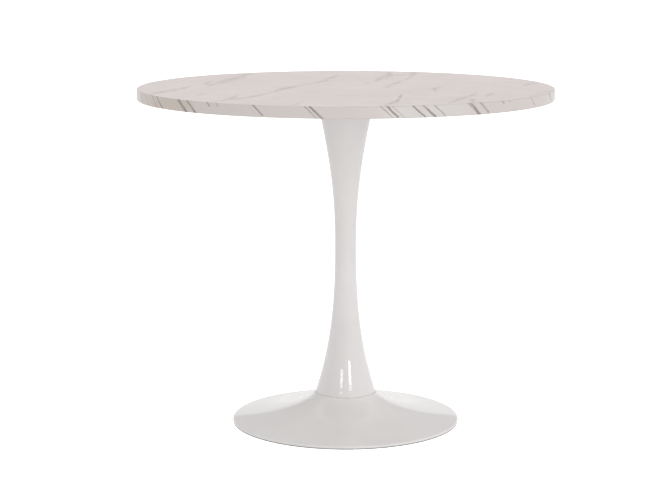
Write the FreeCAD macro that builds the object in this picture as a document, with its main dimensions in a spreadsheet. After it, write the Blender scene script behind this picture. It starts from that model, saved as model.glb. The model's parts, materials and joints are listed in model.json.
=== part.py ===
"""Round pedestal table: a laminated board on a trumpet column and a spun steel base.

The board is screwed to a steel mounting plate. A tie rod runs from a threaded hub under that plate, down
the hollow column, to a nut inside the base, and clamps plate, column and base together.
The frame is millimetres, +Z up, with the origin on the floor under the middle of the base.
"""

import FreeCAD, Part  # FreeCAD is imported before Part

import os
import re

import Sketcher

# Driving dimensions: the name of the cell, its value and what it measures.
SIZES = [
    ("table_height", 740, "floor to table surface"),
    ("top_diameter", 900, "over the edge band"),
    ("core_thickness", 22, "fibreboard core"),
    ("laminate_thickness", 1, "printed sheet on the top face"),
    ("backer_thickness", 1, "balancing sheet on the underside"),
    ("band_thickness", 2, "edge band, radially"),
    ("band_rounding", 1.5, "outer corners of the edge band"),
    ("insert_count", 8, "threaded inserts, screws and washers"),
    ("insert_circle", 260, "pitch circle of the inserts"),
    ("insert_diameter", 10, "over the insert's ridges"),
    ("insert_length", 13, "threaded insert"),
    ("insert_ridge", 0.7, "depth of the insert's ridges"),
    ("insert_ridges", 4, "ridges along the insert"),
    ("insert_room", 2, "drilled depth beyond the insert's end"),
    ("screw_diameter", 6, "thread of the plate screws"),
    ("screw_length", 14, "under the head"),
    ("screw_head_diameter", 10.5, "button head"),
    ("screw_head_height", 3.3, "button head"),
    ("screw_head_flat", 5.5, "flat face of the button head, across"),
    ("screw_socket_flats", 4, "hexagon socket, across flats"),
    ("screw_socket_depth", 2, "hexagon socket"),
    ("washer_diameter", 12, "plain washer under a screw head"),
    ("washer_thickness", 1.6, "plain washer under a screw head"),
    ("screw_clearance", 0.3, "radial, round a screw in plate and washer"),
    ("plate_diameter", 300, "mounting plate"),
    ("plate_thickness", 4, "mounting plate"),
    ("plate_edge_break", 1, "chamfer on the mounting plate's lower edge"),
    ("hub_diameter", 34, "threaded hub under the mounting plate"),
    ("hub_length", 30, "threaded hub"),
    ("hub_chamfer", 3, "lead-in at the hub's lower end"),
    ("hub_clearance", 0.4, "radial, between hub and column top plate"),
    ("hub_headroom", 4, "between the tie rod's end and the mounting plate"),
    ("rod_diameter", 12, "tie rod"),
    ("rod_chamfer", 1.2, "ends of the tie rod"),
    ("rod_clearance", 0.5, "radial, where the rod passes a plate"),
    ("rod_overhang", 8, "below the nut"),
    ("column_top_radius", 62.5, "at the mounting plate"),
    ("column_waist_radius", 23.4, "at the narrowest place"),
    ("column_foot_radius", 66, "at the base"),
    ("column_waist_height", 386, "above the floor"),
    ("column_wall", 2, "spun tube"),
    ("column_top_slope", 0.214, "outward run per unit of rise at the top"),
    ("column_foot_slope", 0.3, "outward run per unit of drop at the foot"),
    ("column_top_pull", 146, "height over which the top slope holds"),
    ("column_upper_pull", 111, "height over which the waist stays straight, upwards"),
    ("column_lower_pull", 182, "height over which the waist stays straight, downwards"),
    ("column_foot_pull", 59, "height over which the foot slope holds"),
    ("column_edge_break", 0.8, "rounding of the column's foot edge"),
    ("top_disc_thickness", 4, "disc welded into the column's top"),
    ("foot_disc_thickness", 5, "disc welded into the column's foot"),
    ("weld_gap", 0.2, "radial, between a disc's inward edge and the column"),
    ("neck_gasket_thickness", 1, "ring between column and base"),
    ("neck_gasket_width", 8, "ring between column and base, radially"),
    ("neck_gasket_inset", 1, "from the column's outside to the ring"),
    ("neck_height", 64, "flat top of the base above the floor"),
    ("neck_ledge", 2, "from the column's foot out to where the flat top would meet the flare"),
    ("neck_angle", 58, "degrees below level where the flare starts"),
    ("neck_pull", 40, "length over which the neck angle holds"),
    ("neck_inner_bend", 1, "inside radius of the bend at the neck"),
    ("base_diameter", 500, "over the rim"),
    ("base_wall", 2, "spun dish"),
    ("rim_height", 6.5, "where the flare would meet the rim"),
    ("rim_angle", 5, "degrees below level where the flare ends"),
    ("rim_pull", 60, "length over which the rim angle holds"),
    ("rim_inner_bend", 1, "inside radius of the bend at the rim"),
    ("rim_gasket_lift", 2, "thickness of the floor ring under the rim"),
    ("rim_gasket_lip", 2.5, "height of the floor ring's lip inside the rim"),
    ("rim_gasket_lip_width", 1.5, "thickness of the floor ring's lip"),
    ("rim_gasket_inset", 0.4, "from the rim's outside to the floor ring"),
    ("clamp_disc_diameter", 110, "stiffening disc under the base's flat top"),
    ("clamp_disc_thickness", 5, "stiffening disc"),
    ("clamp_washer_diameter", 40, "large washer over the tie rod's nut"),
    ("clamp_washer_thickness", 3, "large washer"),
    ("lock_washer_diameter", 21, "split lock washer"),
    ("lock_washer_thickness", 2.5, "split lock washer"),
    ("lock_washer_gap", 12, "degrees of the split"),
    ("nut_flats", 18, "tie rod nut, across flats"),
    ("nut_height", 10.8, "tie rod nut"),
    ("nut_chamfer", 1.4, "height of the nut's corner chamfers"),
]
NAMES = re.compile(r"\b(" + "|".join(name for name, _, _ in SIZES) + r")\b")

# Heights above the floor and radii that more than one piece uses, as expressions of the cells.
LAMINATE_UNDER = "(table_height - laminate_thickness)"
CORE_UNDER = "(table_height - laminate_thickness - core_thickness)"
BOARD_UNDER = "(table_height - laminate_thickness - core_thickness - backer_thickness)"
PLATE_UNDER = f"({BOARD_UNDER} - plate_thickness)"
FOOT_UNDER = "(neck_height + neck_gasket_thickness)"
NECK_INSIDE = "(neck_height - base_wall)"
NECK_RADIUS = "(column_foot_radius + neck_ledge)"
DISC_UNDER = f"({NECK_INSIDE} - clamp_disc_thickness)"
WASHER_UNDER = f"({DISC_UNDER} - clamp_washer_thickness)"
LOCK_UNDER = f"({WASHER_UNDER} - lock_washer_thickness)"
NUT_UNDER = f"({LOCK_UNDER} - nut_height)"
ROD_TOP = f"({PLATE_UNDER} - hub_headroom)"
ROD_END = f"({NUT_UNDER} - rod_overhang)"
SHEET_RADIUS = "(top_diameter / 2 - band_thickness)"
INSERT_RADIUS = "(insert_circle / 2)"
ROD_HOLE = "(rod_diameter / 2 + rod_clearance)"
SCREW_HOLE = "(screw_diameter / 2 + screw_clearance)"
SCREW_SEAT = f"({PLATE_UNDER} - washer_thickness)"

doc = FreeCAD.newDocument("PedestalTable")
sheet = doc.addObject("Spreadsheet::Sheet", "Sizes")
for row, (name, size, note) in enumerate(SIZES, start=1):
    sheet.set(f"A{row}", note)
    sheet.set(f"B{row}", str(size))
    sheet.setAlias(f"B{row}", name)
doc.recompute()


def bound(expression):
    """The expression with each cell's name led by its sheet."""
    return NAMES.sub(r"Sizes.\1", expression)


def value(expression):
    return float(sheet.evalExpression(NAMES.sub(r"\1", expression)))


def new_body(label):
    body = doc.addObject("PartDesign::Body", label)
    body.Label = label
    body.AllowCompound = True
    return body


def origin_feature(body, role):
    return next(item for item in body.Origin.OriginFeatures if item.Role == role)


def new_sketch(body, name, plane, shift=None):
    """A sketch on one of the body's own planes; shift maps x, y or z of its offset to an expression."""
    sketch = body.newObject("Sketcher::SketchObject", name)
    sketch.AttachmentSupport = [(origin_feature(body, plane), "")]
    sketch.MapMode = "FlatFace"
    for axis, expression in (shift or {}).items():
        sketch.setExpression(f"AttachmentOffset.Base.{axis}", bound(expression))
    doc.recompute()
    return sketch


def bind_point(sketch, geometry, position, label, across, up):
    """Holds a point of the sketch at two expressions, measured from the sketch's origin."""
    for kind, axis, expression in (("DistanceX", -2, across), ("DistanceY", -1, up)):
        if expression == "0":
            sketch.addConstraint(Sketcher.Constraint("PointOnObject", geometry, position, axis))
            continue
        index = sketch.addConstraint(
            Sketcher.Constraint(kind, -1, 1, geometry, position, value(expression))
        )
        sketch.renameConstraint(index, f"{label}_{kind[-1].lower()}")
        sketch.setExpression(f"Constraints.{label}_{kind[-1].lower()}", bound(expression))


def draw_outline(sketch, corners, curves=None):
    """A closed outline. curves maps a side's number to the two middle poles of its cubic curve."""
    curves = curves or {}
    points = [FreeCAD.Vector(value(across), value(up), 0) for across, up in corners]
    sides = []
    for number, start in enumerate(points):
        end = points[(number + 1) % len(points)]
        if number not in curves:
            sides.append(sketch.addGeometry(Part.LineSegment(start, end), False))
            continue
        middle = [FreeCAD.Vector(value(across), value(up), 0) for across, up in curves[number]]
        curve = Part.BSplineCurve()
        curve.buildFromPolesMultsKnots([start, *middle, end], [4, 4], [0, 1], False, 3)
        side = sketch.addGeometry(curve, False)
        sketch.exposeInternalGeometry(side)
        sides.append(side)
        for pole, (across, up) in enumerate(curves[number], start=1):
            bind_point(sketch, side + 1 + pole, 3, f"pole_{number}_{pole}", across, up)
    for number, side in enumerate(sides):
        following = sides[(number + 1) % len(sides)]
        sketch.addConstraint(Sketcher.Constraint("Coincident", side, 2, following, 1))
        bind_point(sketch, side, 1, f"corner_{number}", *corners[number])


def add_turned(body, corners, curves=None, angle=None, centre=None):
    """Revolves an outline of (radius, height) corners about Z, or about a parallel axis at radius centre."""
    sketch = new_sketch(body, "Outline", "XZ_Plane", {"x": centre} if centre else None)
    draw_outline(sketch, corners, curves)
    turned = body.newObject("PartDesign::Revolution", "Turned")
    turned.Profile = sketch
    turned.ReferenceAxis = (sketch, ["V_Axis"])
    turned.Angle = 360
    if angle:
        turned.setExpression("Angle", bound(angle))
    sketch.Visibility = False
    doc.recompute()
    return turned


def add_drilled(body, radius, top, depth, centre=None):
    """A round hole from height top downwards, on the axis or at radius centre along X."""
    sketch = new_sketch(body, "HoleCircle", "XY_Plane", {"z": top})
    place = FreeCAD.Vector(value(centre) if centre else 0, 0, 0)
    circle = sketch.addGeometry(Part.Circle(place, FreeCAD.Vector(0, 0, 1), value(radius)), False)
    index = sketch.addConstraint(Sketcher.Constraint("Radius", circle, value(radius)))
    sketch.renameConstraint(index, "hole_radius")
    sketch.setExpression("Constraints.hole_radius", bound(radius))
    bind_point(sketch, circle, 3, "hole", centre or "0", "0")
    pocket = body.newObject("PartDesign::Pocket", "Hole")
    pocket.Profile = sketch
    pocket.setExpression("Length", bound(depth))
    sketch.Visibility = False
    doc.recompute()
    return pocket


def add_hexagon(body, flats, top, depth, centre):
    """A hexagonal recess from height top downwards, at radius centre along X."""
    sketch = new_sketch(body, "Hexagon", "XY_Plane", {"z": top})
    corner = f"{flats} / 2 / cos(30)"
    corners = []
    for side in range(6):
        across = f"{centre} + {corner} * cos({60 * side})"
        up = "0" if side % 3 == 0 else f"{corner} * sin({60 * side})"
        corners.append((across, up))
    draw_outline(sketch, corners)
    pocket = body.newObject("PartDesign::Pocket", "Recess")
    pocket.Profile = sketch
    pocket.setExpression("Length", bound(depth))
    sketch.Visibility = False
    doc.recompute()
    return pocket


def repeat_round(body, features, count):
    pattern = body.newObject("PartDesign::PolarPattern", "Round")
    pattern.Originals = features
    pattern.Axis = (origin_feature(body, "Z_Axis"), [""])
    pattern.Angle = 360
    pattern.setExpression("Occurrences", bound(count))
    body.Tip = pattern
    doc.recompute()
    return pattern


def circles_at(feature, radius, height):
    """Names of the feature's round edges of that radius at that height."""
    tolerance = 1e-3
    found = []
    for number, edge in enumerate(feature.Shape.Edges, start=1):
        if not isinstance(edge.Curve, Part.Circle):
            continue
        if abs(edge.Curve.Radius - radius) > tolerance or abs(edge.Curve.Center.z - height) > tolerance:
            continue
        found.append(f"Edge{number}")
    return found


def flat_faces_at(feature, height):
    """Names of the feature's level faces at that height."""
    tolerance = 1e-3
    found = []
    for number, face in enumerate(feature.Shape.Faces, start=1):
        box = face.BoundBox
        if box.ZLength < tolerance and abs(box.ZMin - height) < tolerance:
            found.append(f"Face{number}")
    return found


def add_rounding(body, feature, edges, radius, kind="Fillet"):
    """A fillet, or a chamfer of the same size, on the named edges."""
    rounding = body.newObject(f"PartDesign::{kind}", kind)
    rounding.Base = (feature, edges)
    rounding.setExpression("Radius" if kind == "Fillet" else "Size", bound(radius))
    doc.recompute()
    return rounding


def add_shelled(body, feature, open_faces, wall):
    """Hollows the solid from inside, leaving a wall and no material at the open faces."""
    shell = body.newObject("PartDesign::Thickness", "Shell")
    shell.Base = (feature, open_faces)
    shell.setExpression("Value", bound(wall))
    shell.Reversed = True
    shell.Mode = 0
    shell.Join = 1
    doc.recompute()
    return shell


def add_disc(body, radius, top, under, hole=None):
    """A flat disc or, with a hole radius, a flat ring."""
    inner = hole or "0"
    return add_turned(body, [(inner, under), (radius, under), (radius, top), (inner, top)])


# ---- Board ----

def build_top_core():
    body = new_body("top_core")
    add_disc(body, SHEET_RADIUS, LAMINATE_UNDER, CORE_UNDER)
    end = f"{BOARD_UNDER} + insert_length + insert_room"
    depth = "insert_length + insert_room - backer_thickness"
    hole = add_drilled(body, "insert_diameter / 2", end, depth, INSERT_RADIUS)
    repeat_round(body, [hole], "insert_count")


def build_top_laminate():
    add_disc(new_body("top_laminate"), SHEET_RADIUS, "table_height", LAMINATE_UNDER)


def build_backing_laminate():
    body = new_body("backing_laminate")
    add_disc(body, SHEET_RADIUS, CORE_UNDER, BOARD_UNDER)
    hole = add_drilled(body, "insert_diameter / 2", CORE_UNDER, "backer_thickness", INSERT_RADIUS)
    repeat_round(body, [hole], "insert_count")


def build_edge_band():
    body = new_body("edge_band")
    ring = add_disc(body, "top_diameter / 2", "table_height", BOARD_UNDER, SHEET_RADIUS)
    outside = value("top_diameter / 2")
    edges = circles_at(ring, outside, value("table_height")) + circles_at(ring, outside, value(BOARD_UNDER))
    add_rounding(body, ring, edges, "band_rounding")


def build_threaded_inserts():
    """Ridged sleeves with a clear thread bore, pressed into the core from below."""
    body = new_body("threaded_inserts")
    outer, bore = "insert_diameter / 2", "screw_diameter / 2"
    root = f"{outer} - insert_ridge"
    pitch = "insert_length / insert_ridges"
    corners = [(bore, BOARD_UNDER), (outer, BOARD_UNDER)]
    for ridge in range(int(value("insert_ridges"))):
        start = f"{BOARD_UNDER} + {ridge} * {pitch}"
        corners.append((outer, f"{start} + {pitch} * 0.35"))
        corners.append((root, f"{start} + {pitch} * 0.65"))
        if ridge < int(value("insert_ridges")) - 1:
            corners.append((outer, f"{start} + {pitch}"))
    end = f"{BOARD_UNDER} + insert_length"
    corners += [(root, end), (bore, end)]
    sleeve = add_turned(body, corners, centre=INSERT_RADIUS)
    repeat_round(body, [sleeve], "insert_count")


# ---- Mounting plate and its screws ----

def build_mounting_plate():
    body = new_body("mounting_plate")
    disc = add_disc(body, "plate_diameter / 2", BOARD_UNDER, PLATE_UNDER)
    edge = circles_at(disc, value("plate_diameter / 2"), value(PLATE_UNDER))
    add_rounding(body, disc, edge, "plate_edge_break", "Chamfer")
    hole = add_drilled(body, SCREW_HOLE, BOARD_UNDER, "plate_thickness", INSERT_RADIUS)
    repeat_round(body, [hole], "insert_count")


def build_plate_washers():
    body = new_body("plate_washers")
    outer = "washer_diameter / 2"
    corners = [(SCREW_HOLE, SCREW_SEAT), (outer, SCREW_SEAT), (outer, PLATE_UNDER), (SCREW_HOLE, PLATE_UNDER)]
    washer = add_turned(body, corners, centre=INSERT_RADIUS)
    repeat_round(body, [washer], "insert_count")


def build_plate_screws():
    """Button-head screws, head down, with a hexagon socket."""
    body = new_body("plate_screws")
    shank, head, flat = "screw_diameter / 2", "screw_head_diameter / 2", "screw_head_flat / 2"
    face = f"{SCREW_SEAT} - screw_head_height"
    tip = f"{SCREW_SEAT} + screw_length"
    corners = [("0", face), (flat, face), (head, f"{SCREW_SEAT} - screw_head_height / 4"), (head, SCREW_SEAT),
               (shank, SCREW_SEAT), (shank, f"{tip} - screw_diameter / 8"), ("screw_diameter * 0.38", tip),
               ("0", tip)]
    dome = [(f"{flat} + (screw_head_diameter - screw_head_flat) / 4", face),
            (head, f"{SCREW_SEAT} - screw_head_height * 0.6")]
    screw = add_turned(body, corners, curves={1: dome}, centre=INSERT_RADIUS)
    socket = add_hexagon(body, "screw_socket_flats", f"{face} + screw_socket_depth", "screw_socket_depth",
                         INSERT_RADIUS)
    repeat_round(body, [screw, socket], "insert_count")


def build_threaded_hub():
    """Round nut welded under the mounting plate; it takes the tie rod and centres the column."""
    outer, bore = "hub_diameter / 2", "rod_diameter / 2"
    under = f"{PLATE_UNDER} - hub_length"
    corners = [(bore, under), (f"{outer} - hub_chamfer", under), (outer, f"{under} + hub_chamfer"),
               (outer, PLATE_UNDER), (bore, PLATE_UNDER)]
    add_turned(new_body("threaded_hub"), corners)


# ---- Column ----

def build_column():
    """Spun tube: two flares that meet at a waist."""
    body = new_body("column")
    corners = [("0", FOOT_UNDER), ("column_foot_radius", FOOT_UNDER),
               ("column_waist_radius", "column_waist_height"),
               ("column_top_radius", PLATE_UNDER), ("0", PLATE_UNDER)]
    foot_pole = "column_foot_radius - column_foot_slope * column_foot_pull"
    top_pole = "column_top_radius - column_top_slope * column_top_pull"
    lower = [(foot_pole, f"{FOOT_UNDER} + column_foot_pull"),
             ("column_waist_radius", "column_waist_height - column_lower_pull")]
    upper = [("column_waist_radius", "column_waist_height + column_upper_pull"),
             (top_pole, f"{PLATE_UNDER} - column_top_pull")]
    flare = add_turned(body, corners, curves={1: lower, 2: upper})
    ends = flat_faces_at(flare, value(FOOT_UNDER)) + flat_faces_at(flare, value(PLATE_UNDER))
    tube = add_shelled(body, flare, ends, "column_wall")
    foot = circles_at(tube, value("column_foot_radius"), value(FOOT_UNDER))
    add_rounding(body, tube, foot, "column_edge_break")


def build_column_discs():
    """Discs welded flush into the column's mouths, tapered to its inner faces."""
    top_under = f"({PLATE_UNDER} - top_disc_thickness)"
    hub_hole = "hub_diameter / 2 + hub_clearance"
    mouth = "column_top_radius - column_wall * sqrt(1 + column_top_slope^2)"
    inward = f"{mouth} - column_top_slope * top_disc_thickness - weld_gap"
    corners = [(hub_hole, top_under), (inward, top_under), (mouth, PLATE_UNDER), (hub_hole, PLATE_UNDER)]
    add_turned(new_body("column_top_disc"), corners)
    foot_top = f"({FOOT_UNDER} + foot_disc_thickness)"
    mouth = "column_foot_radius - column_wall * sqrt(1 + column_foot_slope^2)"
    inward = f"{mouth} - column_foot_slope * foot_disc_thickness - weld_gap"
    corners = [(ROD_HOLE, FOOT_UNDER), (mouth, FOOT_UNDER), (inward, foot_top), (ROD_HOLE, foot_top)]
    add_turned(new_body("column_foot_disc"), corners)


def build_tie_rod():
    radius = "rod_diameter / 2"
    corners = [("0", ROD_END), (f"{radius} - rod_chamfer", ROD_END), (radius, f"{ROD_END} + rod_chamfer"),
               (radius, f"{ROD_TOP} - rod_chamfer"), (f"{radius} - rod_chamfer", ROD_TOP), ("0", ROD_TOP)]
    add_turned(new_body("tie_rod"), corners)


# ---- Base ----

def build_neck_gasket():
    outer = "column_foot_radius - neck_gasket_inset"
    add_disc(new_body("neck_gasket"), outer, FOOT_UNDER, "neck_height", f"{outer} - neck_gasket_width")


def build_base_shell():
    """Spun dish with a flat top, a concave flare and a turned-down rim."""
    body = new_body("base_shell")
    rim = "base_diameter / 2"
    corners = [("0", "rim_gasket_lift"), (rim, "rim_gasket_lift"), (rim, "rim_height"),
               (NECK_RADIUS, "neck_height"), ("0", "neck_height")]
    flare = [(f"{rim} - rim_pull * cos(rim_angle)", "rim_height + rim_pull * sin(rim_angle)"),
             (f"{NECK_RADIUS} + neck_pull * cos(neck_angle)", "neck_height - neck_pull * sin(neck_angle)")]
    dish = add_turned(body, corners, curves={2: flare})
    neck = circles_at(dish, value(NECK_RADIUS), value("neck_height"))
    dish = add_rounding(body, dish, neck, "base_wall + neck_inner_bend")
    bend = circles_at(dish, value(rim), value("rim_height"))
    dish = add_rounding(body, dish, bend, "base_wall + rim_inner_bend")
    add_shelled(body, dish, flat_faces_at(dish, value("rim_gasket_lift")), "base_wall")
    add_drilled(body, ROD_HOLE, "neck_height", "base_wall")


def build_base_rim_gasket():
    """Floor ring: a flange under the rim and a lip pressed inside it."""
    outer = "base_diameter / 2 - rim_gasket_inset"
    inside = "base_diameter / 2 - base_wall"
    inner = f"{inside} - rim_gasket_lip_width"
    lip = "rim_gasket_lift + rim_gasket_lip"
    corners = [(inner, "0"), (outer, "0"), (outer, "rim_gasket_lift"), (inside, "rim_gasket_lift"),
               (inside, lip), (inner, lip)]
    add_turned(new_body("base_rim_gasket"), corners)


def build_clamp_stack():
    """Disc, large washer and split lock washer between the base's flat top and the tie rod's nut."""
    add_disc(new_body("base_clamp_disc"), "clamp_disc_diameter / 2", NECK_INSIDE, DISC_UNDER, ROD_HOLE)
    add_disc(new_body("clamp_washer"), "clamp_washer_diameter / 2", DISC_UNDER, WASHER_UNDER, ROD_HOLE)
    outer, bore = "lock_washer_diameter / 2", "rod_diameter / 2 + rod_clearance / 2"
    corners = [(bore, LOCK_UNDER), (outer, LOCK_UNDER), (outer, WASHER_UNDER), (bore, WASHER_UNDER)]
    add_turned(new_body("lock_washer"), corners, angle="360 - lock_washer_gap")


def build_tie_rod_nut():
    """Hexagon nut with its corners chamfered at both faces."""
    corner = "nut_flats / 2 / cos(30)"
    blank = doc.addObject("Part::Prism", "NutBlank")
    blank.Polygon = 6
    blank.setExpression("Circumradius", bound(corner))
    blank.setExpression("Height", bound("nut_height"))
    blank.setExpression("Placement.Base.z", bound(NUT_UNDER))
    turned = new_body("NutTurning")
    flat, bore = "nut_flats / 2", "rod_diameter / 2"
    corners = [(bore, NUT_UNDER), (flat, NUT_UNDER), (corner, f"{NUT_UNDER} + nut_chamfer"),
               (corner, f"{LOCK_UNDER} - nut_chamfer"), (flat, LOCK_UNDER), (bore, LOCK_UNDER)]
    add_turned(turned, corners)
    nut = doc.addObject("Part::MultiCommon", "tie_rod_nut")
    nut.Shapes = [blank, turned]
    nut.Label = "tie_rod_nut"
    doc.recompute()


def build_all():
    build_top_core()
    build_top_laminate()
    build_backing_laminate()
    build_edge_band()
    build_threaded_inserts()
    build_mounting_plate()
    build_plate_washers()
    build_plate_screws()
    build_threaded_hub()
    build_column()
    build_column_discs()
    build_tie_rod()
    build_neck_gasket()
    build_base_shell()
    build_base_rim_gasket()
    build_clamp_stack()
    build_tie_rod_nut()


def sub_parts():
    """The finished pieces: every body and boolean that nothing else is made from."""
    kinds = ("PartDesign::Body", "Part::MultiCommon")
    found = [item for item in doc.Objects if item.TypeId in kinds]
    used = {source.Name for item in found if item.TypeId == "Part::MultiCommon" for source in item.Shapes}
    return [item for item in found if item.Name not in used]


def check_and_export():
    doc.recompute()
    for item in doc.Objects:
        if {"Invalid", "Error"} & set(item.State):
            raise RuntimeError(f"{item.Label} ({item.TypeId}) failed: {item.State}")
    os.makedirs("parts", exist_ok=True)
    for item in sub_parts():
        shape = item.Shape
        if shape.isNull() or not shape.isValid() or not shape.Solids:
            raise RuntimeError(f"{item.Label} has no valid shape")
        print(f"{item.Label:20s} {len(shape.Solids)} solids, {shape.Volume / 1000:9.2f} cm3")
        shape.exportStep(f"parts/{item.Label}.step")


build_all()
check_and_export()
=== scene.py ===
import json
import math
import random
import bmesh
import bpy
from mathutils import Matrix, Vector


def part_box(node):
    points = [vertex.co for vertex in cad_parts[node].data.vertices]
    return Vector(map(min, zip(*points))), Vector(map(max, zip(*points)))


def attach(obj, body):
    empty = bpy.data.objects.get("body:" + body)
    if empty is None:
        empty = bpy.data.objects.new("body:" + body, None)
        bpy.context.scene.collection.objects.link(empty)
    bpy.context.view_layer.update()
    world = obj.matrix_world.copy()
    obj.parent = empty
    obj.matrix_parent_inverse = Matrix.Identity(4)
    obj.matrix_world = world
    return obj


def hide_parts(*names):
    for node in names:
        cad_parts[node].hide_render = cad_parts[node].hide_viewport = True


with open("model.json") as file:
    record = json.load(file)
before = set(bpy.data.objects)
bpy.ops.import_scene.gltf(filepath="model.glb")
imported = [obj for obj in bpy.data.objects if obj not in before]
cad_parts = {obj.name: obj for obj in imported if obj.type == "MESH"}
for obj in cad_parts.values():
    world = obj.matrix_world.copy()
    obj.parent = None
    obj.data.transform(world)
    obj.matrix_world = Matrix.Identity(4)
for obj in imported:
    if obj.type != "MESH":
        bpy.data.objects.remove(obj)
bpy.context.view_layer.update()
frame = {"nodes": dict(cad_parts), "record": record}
nodes = frame["nodes"]
mm = 0.001
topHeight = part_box("top_laminate")[1].z
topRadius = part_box("edge_band")[1].x
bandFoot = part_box("edge_band")[0].z
print("frame loaded:", len(nodes), "nodes")


# node helpers

def newTree(material):
    material.use_nodes = True
    tree = material.node_tree
    tree.nodes.clear()
    return tree


def addNode(tree, kind, inputs=None, **settings):
    node = tree.nodes.new(kind)
    for key, value in settings.items():
        setattr(node, key, value)
    for key, value in (inputs or {}).items():
        if isinstance(value, bpy.types.NodeSocket):
            tree.links.new(value, node.inputs[key])
        else:
            node.inputs[key].default_value = value
    return node


def mathNode(tree, operation, first, second=0.0, clamp=False):
    node = addNode(tree, "ShaderNodeMath", {0: first, 1: second}, operation=operation, use_clamp=clamp)
    return node.outputs[0]


def vectorNode(tree, operation, first, second=(0, 0, 0)):
    node = addNode(tree, "ShaderNodeVectorMath", {0: first, 1: second}, operation=operation)
    return node.outputs["Value" if operation in ("LENGTH", "DOT_PRODUCT", "DISTANCE") else "Vector"]


def rampNode(tree, value, fromLow, fromHigh, toLow=0.0, toHigh=1.0, smooth=True):
    kind = "SMOOTHSTEP" if smooth else "LINEAR"
    inputs = {"Value": value, "From Min": fromLow, "From Max": fromHigh, "To Min": toLow, "To Max": toHigh}
    return addNode(tree, "ShaderNodeMapRange", inputs, interpolation_type=kind).outputs["Result"]


def noiseNode(tree, vector, scale, detail=2.0, roughness=0.5, distortion=0.0):
    inputs = {"Vector": vector, "Scale": scale, "Detail": detail, "Roughness": roughness,
              "Distortion": distortion}
    return addNode(tree, "ShaderNodeTexNoise", inputs).outputs


def mixColour(tree, factor, first, second, blend="MIX"):
    node = addNode(tree, "ShaderNodeMix", data_type="RGBA", blend_type=blend)
    for socket, value in ((node.inputs[0], factor), (node.inputs[6], first), (node.inputs[7], second)):
        if isinstance(value, bpy.types.NodeSocket):
            tree.links.new(value, socket)
        else:
            socket.default_value = value
    return node.outputs[2]


def startGroup(name, inputs, outputs):
    group = bpy.data.node_groups.new(name, "ShaderNodeTree")
    for label, kind, default in inputs:
        socket = group.interface.new_socket(label, in_out="INPUT", socket_type=kind)
        if default is not None:
            socket.default_value = default
    for label, kind in outputs:
        group.interface.new_socket(label, in_out="OUTPUT", socket_type=kind)
    source = group.nodes.new("NodeGroupInput")
    sink = group.nodes.new("NodeGroupOutput")
    return group, source.outputs, sink.inputs


def placeGroup(tree, group, inputs=None):
    node = addNode(tree, "ShaderNodeGroup", node_tree=group)
    for key, value in (inputs or {}).items():
        if isinstance(value, bpy.types.NodeSocket):
            tree.links.new(value, node.inputs[key])
        else:
            node.inputs[key].default_value = value
    return node.outputs


def rgba(colour):
    return (*colour, 1.0)


# effects that several finishes share

def makeVeinStroke():
    # one vein between two points of a flat drawing, in metres, with a width for each end
    number, vector = "NodeSocketFloat", "NodeSocketVector"
    group, given, made = startGroup(
        "veinStroke",
        [("Drawing", vector, None), ("Start", vector, None), ("End", vector, None),
         ("Width", number, 0.01), ("End Width", number, 0.01), ("Edge", number, 0.3),
         ("Strength", number, 1.0), ("Before", number, 0.0)],
        [("Mask", number)])
    along = vectorNode(group, "SUBTRACT", given["End"], given["Start"])
    away = vectorNode(group, "SUBTRACT", given["Drawing"], given["Start"])
    lengthSquared = vectorNode(group, "DOT_PRODUCT", along, along)
    reached = vectorNode(group, "DOT_PRODUCT", away, along)
    share = mathNode(group, "DIVIDE", reached, lengthSquared, clamp=True)
    nearest = addNode(group, "ShaderNodeVectorMath", {0: along, "Scale": share}, operation="SCALE").outputs[0]
    distance = vectorNode(group, "DISTANCE", away, nearest)
    width = rampNode(group, share, 0.0, 1.0, given["Width"], given["End Width"], smooth=False)
    halfWidth = mathNode(group, "MULTIPLY", width, 0.5)
    core = mathNode(group, "MULTIPLY", halfWidth, given["Edge"])
    body = rampNode(group, distance, halfWidth, core)
    mask = mathNode(group, "MULTIPLY", body, given["Strength"])
    group.links.new(mathNode(group, "MAXIMUM", mask, given["Before"]), made["Mask"])
    return group


def makeWisps():
    # faint natural veining that runs along the drawing's Y axis, and strands that break a vein up
    number, vector = "NodeSocketFloat", "NodeSocketVector"
    group, given, made = startGroup(
        "wisps",
        [("Drawing", vector, None), ("Scale", number, 4.0), ("Stretch", number, 4.0),
         ("Thinness", number, 0.02), ("Patches", number, 0.5)],
        [("Mask", number), ("Cloud", number), ("Strands", number)])
    stretch = addNode(group, "ShaderNodeCombineXYZ",
                      {"X": 1.0, "Y": mathNode(group, "DIVIDE", 1.0, given["Stretch"]), "Z": 1.0}).outputs[0]
    drawing = vectorNode(group, "MULTIPLY", given["Drawing"], stretch)
    ridge = noiseNode(group, drawing, given["Scale"], 5.0, 0.55, 0.6)[0]
    height = mathNode(group, "ABSOLUTE", mathNode(group, "SUBTRACT", ridge, 0.5))
    line = rampNode(group, height, given["Thinness"], 0.0)
    patch = noiseNode(group, drawing, mathNode(group, "MULTIPLY", given["Scale"], 0.7), 2.0)[0]
    shown = rampNode(group, patch, given["Patches"], mathNode(group, "ADD", given["Patches"], 0.18))
    group.links.new(mathNode(group, "MULTIPLY", line, shown), made["Mask"])
    group.links.new(noiseNode(group, drawing, given["Scale"], 3.0, 0.5, 0.3)[0], made["Cloud"])
    strands = noiseNode(group, drawing, mathNode(group, "MULTIPLY", given["Scale"], 9.0), 4.0, 0.6, 0.4)[0]
    group.links.new(rampNode(group, strands, 0.36, 0.60), made["Strands"])
    return group


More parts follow.
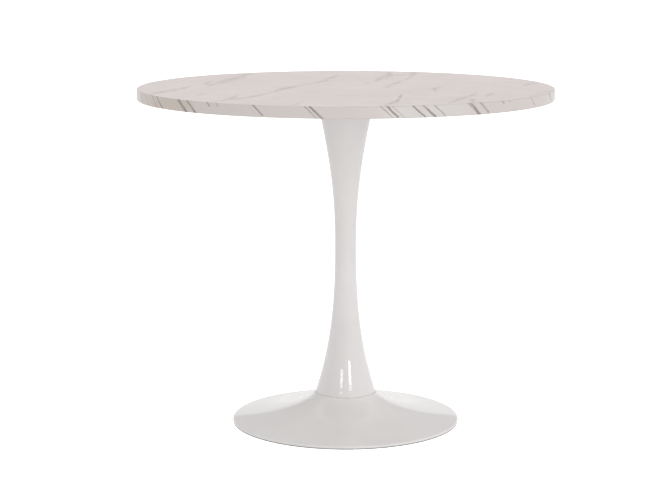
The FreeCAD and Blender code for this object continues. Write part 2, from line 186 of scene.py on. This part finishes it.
def makeOrangePeel():
    # the low swell that a thick sprayed or baked coat dries with, and fine grit
    number, vector = "NodeSocketFloat", "NodeSocketVector"
    group, given, made = startGroup(
        "orangePeel", [("Place", vector, None), ("Swell", number, 250.0), ("Grit", number, 0.15)],
        [("Height", number), ("Mottle", number)])
    swell = noiseNode(group, given["Place"], given["Swell"], 1.0, 0.4)[0]
    grit = noiseNode(group, given["Place"], mathNode(group, "MULTIPLY", given["Swell"], 7.0), 2.0)[0]
    height = mathNode(group, "ADD", swell, mathNode(group, "MULTIPLY", grit, given["Grit"]))
    group.links.new(height, made["Height"])
    mottle = noiseNode(group, given["Place"], mathNode(group, "MULTIPLY", given["Swell"], 0.04), 3.0)[0]
    group.links.new(mottle, made["Mottle"])
    return group


def makePressTexture():
    # the fine even grain that a press plate or a mould leaves
    number, vector = "NodeSocketFloat", "NodeSocketVector"
    group, given, made = startGroup(
        "pressTexture", [("Place", vector, None), ("Scale", number, 900.0), ("Gloss", number, 0.3)],
        [("Height", number), ("Roughness", number)])
    grain = noiseNode(group, given["Place"], given["Scale"], 2.0)[0]
    worn = noiseNode(group, given["Place"], mathNode(group, "MULTIPLY", given["Scale"], 0.02), 3.0)[0]
    group.links.new(grain, made["Height"])
    spread = mathNode(group, "ADD", rampNode(group, grain, 0.3, 0.7, 0.88, 1.04),
                      rampNode(group, worn, 0.3, 0.7, 0.0, 0.14))
    group.links.new(mathNode(group, "MULTIPLY", given["Gloss"], spread), made["Roughness"])
    return group


def makeTurned():
    # fine rings left by a lathe about the upright axis, and the blotches of plating or of handling
    number, vector = "NodeSocketFloat", "NodeSocketVector"
    group, given, made = startGroup(
        "turned", [("Place", vector, None), ("Rings", number, 3000.0), ("Blotches", number, 160.0)],
        [("Height", number), ("Blotch", number)])
    split = addNode(group, "ShaderNodeSeparateXYZ", {0: given["Place"]}).outputs
    flat = vectorNode(group, "MULTIPLY", given["Place"], (1, 1, 0))
    ringPlace = addNode(group, "ShaderNodeCombineXYZ",
                        {"X": vectorNode(group, "LENGTH", flat), "Y": 0.0, "Z": split["Z"]}).outputs[0]
    group.links.new(noiseNode(group, ringPlace, given["Rings"], 2.0)[0], made["Height"])
    cells = addNode(group, "ShaderNodeTexVoronoi", {"Vector": given["Place"], "Scale": given["Blotches"]})
    cloud = noiseNode(group, given["Place"], mathNode(group, "MULTIPLY", given["Blotches"], 0.6), 3.0)[0]
    spangle = rampNode(group, cells.outputs["Distance"], 0.0, 0.8, 0.0, 0.45)
    group.links.new(mathNode(group, "ADD", spangle, mathNode(group, "MULTIPLY", cloud, 0.6)), made["Blotch"])
    return group


def makeFibres():
    # short strands lying flat, as in paper and pressed board
    number, vector = "NodeSocketFloat", "NodeSocketVector"
    group, given, made = startGroup(
        "fibres", [("Place", vector, None), ("Scale", number, 500.0), ("Length", number, 6.0)],
        [("Strands", number), ("Specks", number)])
    strands = 0.0
    for angle in (15, 75, 135):
        turned = addNode(group, "ShaderNodeVectorRotate",
                         {"Vector": given["Place"], "Angle": math.radians(angle)}, rotation_type="Z_AXIS")
        shortened = mathNode(group, "DIVIDE", 1.0, given["Length"])
        squeeze = addNode(group, "ShaderNodeCombineXYZ", {"X": shortened, "Y": 1.0, "Z": 1.0}).outputs[0]
        laid = vectorNode(group, "MULTIPLY", turned.outputs[0], squeeze)
        strand = rampNode(group, noiseNode(group, laid, given["Scale"], 2.0)[0], 0.55, 0.72)
        strands = mathNode(group, "MAXIMUM", strand, strands)
    group.links.new(strands, made["Strands"])
    speck = noiseNode(group, given["Place"], mathNode(group, "MULTIPLY", given["Scale"], 1.5), 2.0)[0]
    group.links.new(rampNode(group, speck, 0.62, 0.74), made["Specks"])
    return group


veinStroke = makeVeinStroke()
wisps = makeWisps()
orangePeel = makeOrangePeel()
pressTexture = makePressTexture()
turnedRings = makeTurned()
fibres = makeFibres()


# finishes

def startMaterial(name):
    material = bpy.data.materials.new(name)
    tree = newTree(material)
    surface = tree.nodes.new("ShaderNodeBsdfPrincipled")
    output = tree.nodes.new("ShaderNodeOutputMaterial")
    tree.links.new(surface.outputs[0], output.inputs["Surface"])
    return material, tree, surface


def objectPlace(tree):
    return addNode(tree, "ShaderNodeTexCoord").outputs["Object"]


def bumpTo(tree, surface, height, strength, distance):
    bump = addNode(tree, "ShaderNodeBump", {"Height": height, "Strength": strength, "Distance": distance})
    tree.links.new(bump.outputs[0], surface.inputs["Normal"])


def satin(tree, surface, place, roughness, bump=0.06):
    press = placeGroup(tree, pressTexture, {"Place": place, "Gloss": roughness})
    tree.links.new(press["Roughness"], surface.inputs["Roughness"])
    bumpTo(tree, surface, press["Height"], bump, 0.00005)


enamelValues = {"colour": (0.825, 0.805, 0.797), "shade": (0.795, 0.775, 0.767), "roughness": 0.02,
                "swell": 180.0, "bump": 0.03, "bumpHeight": 0.00004}


def makeEnamel(name, values):
    # baked gloss powder coat
    material, tree, surface = startMaterial(name)
    place = objectPlace(tree)
    peel = placeGroup(tree, orangePeel, {"Place": place, "Swell": values["swell"]})
    tone = rampNode(tree, peel["Mottle"], 0.35, 0.65)
    colour = mixColour(tree, tone, rgba(values["shade"]), rgba(values["colour"]))
    tree.links.new(colour, surface.inputs["Base Color"])
    rough = rampNode(tree, peel["Mottle"], 0.3, 0.7, values["roughness"], values["roughness"] * 1.3)
    tree.links.new(rough, surface.inputs["Roughness"])
    bumpTo(tree, surface, peel["Height"], values["bump"], values["bumpHeight"])
    return material


marbleValues = {"ground": (0.68, 0.585, 0.555), "cool": (0.64, 0.565, 0.54), "vein": (0.34, 0.265, 0.25),
                "hair": (0.56, 0.50, 0.485), "roughness": 0.34, "lean": 18.0, "wander": 0.03,
                "wanderScale": 7.0, "wisp": 9.0, "hairs": 0.45, "strands": 0.3, "edge": 0.0,
                "strength": 1.0, "taper": 0.2}

# the print's main veins as (points in metres from the middle, width, strength)
topVeins = [
    ([(-0.225, 0.36), (-0.25, 0.22), (-0.29, 0.08), (-0.30, 0.02)], 0.060, 0.55),
    ([(-0.30, 0.17), (-0.31, 0.08), (-0.30, 0.01)], 0.030, 0.50),
    ([(-0.335, 0.02), (-0.355, -0.06), (-0.38, -0.12), (-0.405, -0.20)], 0.045, 0.60),
    ([(-0.225, 0.34), (-0.24, 0.30)], 0.040, 0.40),
    ([(-0.02, 0.35), (-0.03, 0.24), (-0.05, 0.14), (-0.085, 0.06)], 0.034, 0.55),
    ([(-0.085, 0.06), (-0.13, -0.04), (-0.155, -0.14)], 0.046, 0.60),
    ([(-0.155, -0.14), (-0.185, -0.22), (-0.21, -0.28), (-0.265, -0.35)], 0.034, 0.55),
    ([(-0.225, -0.19), (-0.23, -0.27), (-0.245, -0.33)], 0.032, 0.65),
    ([(-0.01, 0.42), (-0.04, 0.40)], 0.03, 0.35),
    ([(0.10, 0.41), (0.10, 0.32), (0.08, 0.22), (0.065, 0.13)], 0.040, 0.55),
    ([(0.13, 0.33), (0.11, 0.28)], 0.034, 0.45),
    ([(0.16, 0.42), (0.155, 0.34), (0.145, 0.24)], 0.038, 0.50),
    ([(0.145, 0.24), (0.12, 0.12), (0.095, 0.02), (0.085, -0.04)], 0.028, 0.45),
    ([(0.05, 0.10), (0.035, 0.07)], 0.035, 0.40),
    ([(0.225, 0.0), (0.20, -0.02), (0.19, -0.06), (0.188, -0.13)], 0.024, 0.60),
    ([(0.118, -0.16), (0.115, -0.24), (0.105, -0.30)], 0.016, 0.80),
    ([(0.105, -0.30), (0.09, -0.36), (0.075, -0.43)], 0.030, 0.85),
    ([(0.31, -0.14), (0.295, -0.19), (0.285, -0.24)], 0.030, 0.50),
    ([(0.275, -0.14), (0.255, -0.22), (0.225, -0.30), (0.20, -0.38)], 0.032, 0.60),
    ([(0.255, -0.29), (0.25, -0.38)], 0.026, 0.65),
    ([(0.435, 0.14), (0.40, 0.06), (0.39, 0.02)], 0.030, 0.50),
    ([(0.44, -0.07), (0.40, -0.16), (0.375, -0.22)], 0.026, 0.45),
    ([(-0.295, -0.16), (-0.31, -0.25)], 0.018, 0.40),
    ([(-0.085, -0.35), (-0.10, -0.43)], 0.018, 0.50),
]


def flatDrawing(tree, place, wander, scale):
    # the drawing's coordinates, pushed about so that straight strokes wander as veins do
    push = noiseNode(tree, place, scale, 4.0, 0.6)[1]
    centred = vectorNode(tree, "SUBTRACT", push, (0.5, 0.5, 0.5))
    scaled = addNode(tree, "ShaderNodeVectorMath", {0: centred, "Scale": wander}, operation="SCALE")
    moved = vectorNode(tree, "ADD", place, scaled.outputs[0])
    return vectorNode(tree, "MULTIPLY", moved, (1, 1, 0))


def drawStrokes(tree, drawing, strokes, edge):
    mask = 0.0
    for start, end, width, endWidth, strength in strokes:
        inputs = {"Drawing": drawing, "Start": (*start, 0), "End": (*end, 0), "Width": width,
                  "End Width": endWidth, "Edge": edge, "Strength": strength, "Before": mask}
        mask = placeGroup(tree, veinStroke, inputs)["Mask"]
    return mask


def marbleColour(tree, drawing, strokes, values, tint=None):
    lean = addNode(tree, "ShaderNodeVectorRotate",
                   {"Vector": drawing, "Angle": math.radians(values["lean"])}, rotation_type="Z_AXIS")
    faint = placeGroup(tree, wisps, {"Drawing": lean.outputs[0], "Scale": values["wisp"]})
    ground = mixColour(tree, rampNode(tree, faint["Cloud"], 0.35, 0.68),
                       rgba(values["ground"]), rgba(values["cool"]))
    if tint:
        ground = tint(ground)
    haired = mixColour(tree, mathNode(tree, "MULTIPLY", faint["Mask"], values["hairs"]), ground,
                       rgba(values["hair"]))
    mask = drawStrokes(tree, drawing, strokes, values["edge"])
    broken = mathNode(tree, "MULTIPLY", mask, rampNode(tree, faint["Strands"], 0, 1, values["strands"], 1.0))
    veins = mathNode(tree, "MULTIPLY", broken, values["strength"], clamp=True)
    return mixColour(tree, veins, haired, rgba(values["vein"]))


def makeMarbleTop():
    # printed laminate, satin
    material, tree, surface = startMaterial("marbleTop")
    place = objectPlace(tree)
    drawing = flatDrawing(tree, place, marbleValues["wander"], marbleValues["wanderScale"])
    strokes = []
    for points, width, strength in topVeins:
        thin = width * marbleValues["taper"]
        widths = [thin] + [width] * (len(points) - 2) + [thin] if len(points) > 2 else [width, thin]
        strokes += [(*ends, strength) for ends in zip(points, points[1:], widths, widths[1:])]
    colour = marbleColour(tree, drawing, strokes, marbleValues)
    tree.links.new(colour, surface.inputs["Base Color"])
    satin(tree, surface, place, marbleValues["roughness"])
    return material


edgeValues = {"ground": (0.64, 0.58, 0.555), "cool": (0.62, 0.575, 0.55), "vein": (0.14, 0.11, 0.10),
              "hair": (0.52, 0.48, 0.455), "roughness": 0.36, "lean": -48.0, "wander": 0.006, "wisp": 11.0,
              "hairs": 0.3, "strands": 0.6, "edge": 0.15, "strength": 1.0, "spread": 2.0,
              "wanderScale": 40.0, "runPerHeight": 1.1, "backFrom": 72.0, "backTo": 290.0,
              "backSteps": (2.5, 3.5, 8.0, 12.0, 15.0), "backWidths": (2.0, 4.6),
              "backShares": (1.0, 1.0, 0.7, 0.3), "backStrengths": (0.4, 0.8)}

# the streaks seen from the front: angle in degrees from the front, width in mm before the spread,
# share of the band's height, strength; runPerHeight is how far one runs sideways for each unit of drop
edgeStreaks = [
    (-60.5, 2.2, 1.0, 0.55), (-57.5, 2.8, 1.0, 0.75), (-46.7, 5.2, 1.0, 0.85), (-43, 3.8, 1.0, 0.85),
    (-36, 2.8, 0.3, 0.55), (-33, 2.2, 0.25, 0.4), (-22, 2.6, 0.8, 0.75), (-8.6, 1.8, 1.0, 0.6),
    (-7.3, 3.4, 1.0, 0.9), (10.2, 2.2, 0.9, 0.5), (11.8, 3.2, 0.85, 0.8), (13.2, 2.2, 0.9, 0.45),
    (18.5, 2.6, 1.0, 0.75), (21.3, 3.6, 0.95, 0.75), (24.2, 1.8, 0.9, 0.6), (34.5, 5.4, 1.0, 0.75),
    (37.8, 3.8, 0.85, 0.65), (45.5, 3.0, 0.2, 0.5), (48.3, 2.4, 0.15, 0.4), (58.5, 2.0, 0.75, 0.5),
    (-66, 2.0, 0.9, 0.25), (-63, 1.6, 1.0, 0.25),
]
# the band's slow changes of tone: from and to in degrees, colour, strength
edgeTones = [
    (-69, -45, (0.55, 0.475, 0.415), 0.75), (-40, -16, (0.625, 0.58, 0.55), 0.7),
    (13, 29, (0.66, 0.63, 0.605), 0.8), (150, 190, (0.55, 0.53, 0.495), 0.8),
    (100, 128, (0.66, 0.64, 0.615), 0.8), (-140, -112, (0.64, 0.62, 0.60), 0.8),
]


def makeMarbleEdge():
    # printed edge band, unrolled round the rim: arc length across, height up
    material, tree, surface = startMaterial("marbleEdge")
    place = objectPlace(tree)
    split = addNode(tree, "ShaderNodeSeparateXYZ", {0: place}).outputs
    angle = mathNode(tree, "ARCTAN2", split["X"], mathNode(tree, "MULTIPLY", split["Y"], -1.0))
    arc = mathNode(tree, "MULTIPLY", angle, topRadius)
    unrolled = addNode(tree, "ShaderNodeCombineXYZ", {"X": arc, "Y": split["Z"], "Z": 0.0}).outputs[0]
    drawing = flatDrawing(tree, unrolled, edgeValues["wander"], edgeValues["wanderScale"])
    # more streaks of the same kind carry the print round the back
    dice = random.Random(5)
    streaks = list(edgeStreaks)
    at = edgeValues["backFrom"]
    while at < edgeValues["backTo"]:
        degrees = at if at < 180 else at - 360
        width = dice.uniform(*edgeValues["backWidths"])
        share = dice.choice(edgeValues["backShares"])
        streaks.append((degrees, width, share, dice.uniform(*edgeValues["backStrengths"])))
        at += dice.choice(edgeValues["backSteps"])
    strokes = []
    height = topHeight - bandFoot
    run = height * edgeValues["runPerHeight"]
    for degrees, width, share, strength in streaks:
        left = math.radians(degrees) * topRadius - run / 2
        strokes.append(((left, topHeight), (left + run * share, topHeight - height * share),
                        *[width * edgeValues["spread"] * mm] * 2, strength))

    def tint(ground):
        middle = (topHeight + bandFoot) / 2
        for start, end, colour, strength in edgeTones:
            inputs = {"Drawing": drawing, "Start": (math.radians(start) * topRadius, middle, 0),
                      "End": (math.radians(end) * topRadius, middle, 0), "Width": height * 4,
                      "End Width": height * 4, "Edge": 0.1, "Strength": strength}
            ground = mixColour(tree, placeGroup(tree, veinStroke, inputs)["Mask"], ground, rgba(colour))
        return ground

    colour = marbleColour(tree, drawing, strokes, edgeValues, tint)
    tree.links.new(colour, surface.inputs["Base Color"])
    satin(tree, surface, place, edgeValues["roughness"])
    return material


backerValues = {"colour": (0.50, 0.455, 0.415), "fibre": (0.58, 0.54, 0.50), "roughness": 0.5,
                "fibreScale": 260.0, "fibreShare": 0.4, "bump": 0.15}


def makeBackerSheet(values):
    # resin-soaked paper, unprinted
    material, tree, surface = startMaterial("backerSheet")
    place = objectPlace(tree)
    paper = placeGroup(tree, fibres, {"Place": place, "Scale": values["fibreScale"]})
    colour = mixColour(tree, mathNode(tree, "MULTIPLY", paper["Strands"], values["fibreShare"]),
                       rgba(values["colour"]), rgba(values["fibre"]))
    tree.links.new(colour, surface.inputs["Base Color"])
    satin(tree, surface, place, values["roughness"], values["bump"])
    return material


boardValues = {"colour": (0.36, 0.235, 0.135), "fibre": (0.50, 0.36, 0.22), "speck": (0.16, 0.10, 0.06),
               "fibreScale": 700.0, "fibreLength": 4.0, "roughness": 0.9, "fibreRoughness": 0.75,
               "bump": 0.3, "bumpHeight": 0.0001}


def makeFibreboard(values):
    # pressed wood fibre, seen only where the board is drilled
    material, tree, surface = startMaterial("fibreboard")
    place = objectPlace(tree)
    fibre = placeGroup(tree, fibres, {"Place": place, "Scale": values["fibreScale"],
                                      "Length": values["fibreLength"]})
    pale = mixColour(tree, fibre["Strands"], rgba(values["colour"]), rgba(values["fibre"]))
    specked = mixColour(tree, fibre["Specks"], pale, rgba(values["speck"]))
    tree.links.new(specked, surface.inputs["Base Color"])
    rough = rampNode(tree, fibre["Strands"], 0, 1, values["roughness"], values["fibreRoughness"])
    tree.links.new(rough, surface.inputs["Roughness"])
    bumpTo(tree, surface, fibre["Strands"], values["bump"], values["bumpHeight"])
    return material


blackValues = {"colour": (0.022, 0.022, 0.024), "shade": (0.035, 0.035, 0.037), "swell": 700.0,
               "grit": 0.5, "roughness": 0.38, "bump": 0.35, "bumpHeight": 0.0001}


def makeCoatedSteel(name, values):
    # textured powder coat
    material, tree, surface = startMaterial(name)
    peel = placeGroup(tree, orangePeel, {"Place": objectPlace(tree), "Swell": values["swell"],
                                         "Grit": values["grit"]})
    tone = rampNode(tree, peel["Mottle"], 0.35, 0.65)
    tree.links.new(mixColour(tree, tone, rgba(values["shade"]), rgba(values["colour"])),
                   surface.inputs["Base Color"])
    tree.links.new(rampNode(tree, peel["Height"], 0.4, 0.9, values["roughness"] * 1.2, values["roughness"]),
                   surface.inputs["Roughness"])
    bumpTo(tree, surface, peel["Height"], values["bump"], values["bumpHeight"])
    return material


zincValues = {"colour": (0.60, 0.61, 0.61), "blotch": (0.48, 0.49, 0.50), "roughness": 0.26,
              "rings": 2600.0, "blotches": 420.0, "bump": 0.12}
brassValues = {"colour": (0.75, 0.55, 0.26), "blotch": (0.60, 0.41, 0.18), "roughness": 0.28,
               "rings": 4000.0, "blotches": 300.0, "bump": 0.2}


def makeTurnedMetal(name, values):
    # plated or bare metal with tool marks
    material, tree, surface = startMaterial(name)
    marks = placeGroup(tree, turnedRings, {"Place": objectPlace(tree), "Rings": values["rings"],
                                           "Blotches": values["blotches"]})
    blotch = rampNode(tree, marks["Blotch"], 0.25, 0.75)
    tree.links.new(mixColour(tree, blotch, rgba(values["colour"]), rgba(values["blotch"])),
                   surface.inputs["Base Color"])
    surface.inputs["Metallic"].default_value = 1.0
    tree.links.new(rampNode(tree, blotch, 0, 1, values["roughness"], values["roughness"] * 1.7),
                   surface.inputs["Roughness"])
    bumpTo(tree, surface, marks["Height"], values["bump"], 0.00005)
    return material


# the floor gasket's near-black colour is partly its own dark rubber and partly painted shade, standing for
# the shaded gap under the base's rim
gasketAndGapShadeValues = {"colour": (0.15, 0.15, 0.155), "dust": (0.26, 0.255, 0.25), "roughness": 0.55,
                "dustScale": 90.0, "bump": 0.2}
sealValues = {"colour": (0.86, 0.84, 0.82), "dust": (0.78, 0.755, 0.73), "roughness": 0.5,
              "dustScale": 90.0, "bump": 0.2}


def makeSoftPlastic(name, values):
    # moulded ring, a little dusty
    material, tree, surface = startMaterial(name)
    place = objectPlace(tree)
    dust = rampNode(tree, noiseNode(tree, place, values["dustScale"], 4.0)[0], 0.42, 0.68)
    tree.links.new(mixColour(tree, dust, rgba(values["colour"]), rgba(values["dust"])),
                   surface.inputs["Base Color"])
    satin(tree, surface, place, values["roughness"], values["bump"])
    return material


def dress(name, material):
    slots = nodes[name].data.materials
    slots.clear()
    slots.append(material)


finishes = {
    "marble_top": makeMarbleTop(),
    "marble_edge": makeMarbleEdge(),
    "backer_sheet": makeBackerSheet(backerValues),
    "fibreboard": makeFibreboard(boardValues),
    "white_enamel": makeEnamel("whiteEnamel", enamelValues),
    "black_enamel": makeCoatedSteel("blackEnamel", blackValues),
    "zinc_steel": makeTurnedMetal("zincSteel", zincValues),
    "insert_brass": makeTurnedMetal("insertBrass", brassValues),
    # this finish's dark colour carries painted shade of the gap under the rim
    "floor_gasket": makeSoftPlastic("floorGasketAndGapShade", gasketAndGapShadeValues),
    "neck_seal": makeSoftPlastic("neckSeal", sealValues),
}
for part in frame["record"]["subparts"]:
    dress(part["node"], finishes[part["material_slot"]])
print("finishes set")


# tie rod

rodValues = {"pitch": 1.75 * mm, "depth": 1.0 * mm, "footThread": 42 * mm, "topThread": 30 * mm,
             "endChamfer": 1.2 * mm, "runOut": 4 * mm, "around": 48, "rowsPerPitch": 8}


def makeTieRod(values):
    # a thread cut into each end of the CAD rod's outline, plain between them
    low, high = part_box("tie_rod")
    radius, around = high.x, values["around"]
    step = values["pitch"] / values["rowsPerPitch"]
    footEnd, topStart = low.z + values["footThread"], high.z - values["topThread"]
    rows = [low.z + step * row for row in range(int(values["footThread"] / step) + 1)]
    rows += [footEnd + step, topStart - step]
    rows += [topStart + step * row for row in range(int(values["topThread"] / step))] + [high.z]

    def radiusAt(z, turn):
        inThread = max(footEnd - z, z - topStart)
        cut = values["depth"] * min(1.0, max(0.0, inThread / values["runOut"]))
        groove = abs(2 * ((z / values["pitch"] - turn) % 1.0) - 1)
        chamfered = radius - values["endChamfer"] + min(z - low.z, high.z - z)
        return min(radius - cut * groove, chamfered)

    bm = bmesh.new()
    rings = []
    for z in rows:
        ring = []
        for count in range(around):
            turn = count / around
            reach, angle = radiusAt(z, turn), turn * math.tau
            ring.append(bm.verts.new((reach * math.cos(angle), reach * math.sin(angle), z)))
        rings.append(ring)
    for lower, upper in zip(rings, rings[1:]):
        for count in range(around):
            after = (count + 1) % around
            bm.faces.new((lower[count], lower[after], upper[after], upper[count])).smooth = True
    bm.faces.new(list(reversed(rings[0])))
    bm.faces.new(rings[-1])
    mesh = bpy.data.meshes.new("tieRodThreaded")
    bm.to_mesh(mesh)
    bm.free()
    mesh.materials.append(finishes["zinc_steel"])
    rod = bpy.data.objects.new("tieRodThreaded", mesh)
    bpy.context.scene.collection.objects.link(rod)
    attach(rod, "root")
    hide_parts("tie_rod")


makeTieRod(rodValues)
print("tie rod threaded")


# studio

# brightness of the room by elevation in degrees: each list starts with what lies below its first step
studioValues = {"floorSize": 60.0, "floorHole": 0.235, "floorSides": 96, "floorColour": (0.85, 0.85, 0.85),
                "floorGlow": 0.08, "floorWhite": 0.75, "floorShine": 0.35,
                "behind": [1.15, (14, 0.7), (45, 1.0)],
                "frontLeft": [0.65, (45, 1.0)],
                "frontRight": [1.1, (45, 1.0)],
                "stepBlur": 0.004, "leftToRight": 0.35, "frontToBack": 0.15}


def makeFloor(values):
    # a pale ground; its round opening lies under the base, and it can be looked through from below
    bm = bmesh.new()
    rings = []
    sides = values["floorSides"]
    angles = [turn * math.tau / sides for turn in range(sides)]
    for radius in (values["floorHole"], 1.0, 5.0, values["floorSize"] / 2):
        rings.append([bm.verts.new((radius * math.cos(angle), radius * math.sin(angle), 0))
                      for angle in angles])
    for inner, outer in zip(rings, rings[1:]):
        for turn in range(sides):
            after = (turn + 1) % sides
            bm.faces.new((inner[turn], outer[turn], outer[after], inner[after]))
    mesh = bpy.data.meshes.new("floor")
    bm.to_mesh(mesh)
    bm.free()
    floor = bpy.data.objects.new("floor", mesh)
    bpy.context.scene.collection.objects.link(floor)
    material, tree, surface = startMaterial("floor")
    surface.inputs["Base Color"].default_value = rgba(values["floorColour"])
    surface.inputs["Roughness"].default_value = 0.9
    surface.inputs["Specular IOR Level"].default_value = 0.0
    surface.inputs["Emission Color"].default_value = (1, 1, 1, 1)
    ray = addNode(tree, "ShaderNodeLightPath").outputs
    mirrored = rampNode(tree, ray["Is Glossy Ray"], 0.0, 1.0, values["floorGlow"], values["floorShine"],
                        smooth=False)
    glow = rampNode(tree, ray["Is Camera Ray"], 0.0, 1.0, mirrored, values["floorWhite"], smooth=False)
    tree.links.new(glow, surface.inputs["Emission Strength"])
    clear = addNode(tree, "ShaderNodeBsdfTransparent")
    back = addNode(tree, "ShaderNodeNewGeometry").outputs["Backfacing"]
    both = addNode(tree, "ShaderNodeMixShader", {0: back, 1: surface.outputs[0], 2: clear.outputs[0]})
    output = next(node for node in tree.nodes if node.type == "OUTPUT_MATERIAL")
    tree.links.new(both.outputs[0], output.inputs["Surface"])
    mesh.materials.append(material)


def makeRoom(values):
    # white paper low behind the table and a dimmer wall above it, a brighter right side, a pale ceiling
    world = bpy.data.worlds.new("studio")
    bpy.context.scene.world = world
    world.use_nodes = True
    tree = world.node_tree
    tree.nodes.clear()
    direction = addNode(tree, "ShaderNodeTexCoord").outputs["Generated"]
    split = addNode(tree, "ShaderNodeSeparateXYZ", {0: direction}).outputs

    def between(mask, first, second):
        return rampNode(tree, mask, 0.0, 1.0, first, second, smooth=False)

    def stepped(levels):
        glow = levels[0]
        for elevation, after in levels[1:]:
            step = math.sin(math.radians(elevation))
            past = rampNode(tree, split["Z"], step - values["stepBlur"], step + values["stepBlur"])
            glow = between(past, glow, after)
        return glow

    toRight = rampNode(tree, split["X"], -values["leftToRight"], values["leftToRight"])
    toBack = rampNode(tree, split["Y"], -values["frontToBack"], values["frontToBack"])
    front = between(toRight, stepped(values["frontLeft"]), stepped(values["frontRight"]))
    glow = between(toBack, front, stepped(values["behind"]))
    background = addNode(tree, "ShaderNodeBackground", {"Color": (1, 1, 1, 1), "Strength": glow})
    output = addNode(tree, "ShaderNodeOutputWorld")
    tree.links.new(background.outputs[0], output.inputs["Surface"])


# the two strip lamps that show at the column's foot; azimuth is from the front towards +X, in degrees
lampValues = {
    "stripLeft": {"azimuth": -18, "elevation": 15.7, "distance": 3.0, "width": 0.6, "height": 0.15,
                  "power": 2.0, "aim": (0, 0, 0.1)},
    "stripRight": {"azimuth": 21, "elevation": 14.5, "distance": 3.0, "width": 0.6, "height": 0.27,
                   "power": 5.0, "aim": (0, 0, 0.1)},
}


def addSoftbox(name, values):
    turn, lift = math.radians(values["azimuth"]), math.radians(values["elevation"])
    away = Vector((math.sin(turn) * math.cos(lift), -math.cos(turn) * math.cos(lift), math.sin(lift)))
    data = bpy.data.lights.new(name, "AREA")
    data.shape = "RECTANGLE"
    data.size = values["width"]
    data.size_y = values["height"]
    data.energy = values["power"]
    lamp = bpy.data.objects.new(name, data)
    bpy.context.scene.collection.objects.link(lamp)
    lamp.location = Vector(values["aim"]) + away * values["distance"]
    lamp.rotation_euler = (-away).to_track_quat("-Z", "Y").to_euler()


makeFloor(studioValues)
makeRoom(studioValues)
for name, values in lampValues.items():
    addSoftbox(name, values)
print("studio lit")


# camera

cameraValues = {"distance": 4.04, "height": 1.087, "pitch": 9.6, "turn": 0.33, "lens": 100.4,
                "sensor": 36}


def makeCamera(values):
    data = bpy.data.cameras.new("camera")
    data.lens = values["lens"]
    data.sensor_width = values["sensor"]
    camera = bpy.data.objects.new("camera", data)
    bpy.context.scene.collection.objects.link(camera)
    camera.location = (0, -values["distance"], values["height"])
    camera.rotation_euler = (math.radians(90 - values["pitch"]), 0, math.radians(values["turn"]))
    bpy.context.scene.camera = camera


makeCamera(cameraValues)
bpy.context.scene.view_settings.view_transform = "Standard"
bpy.context.scene.view_settings.look = "None"
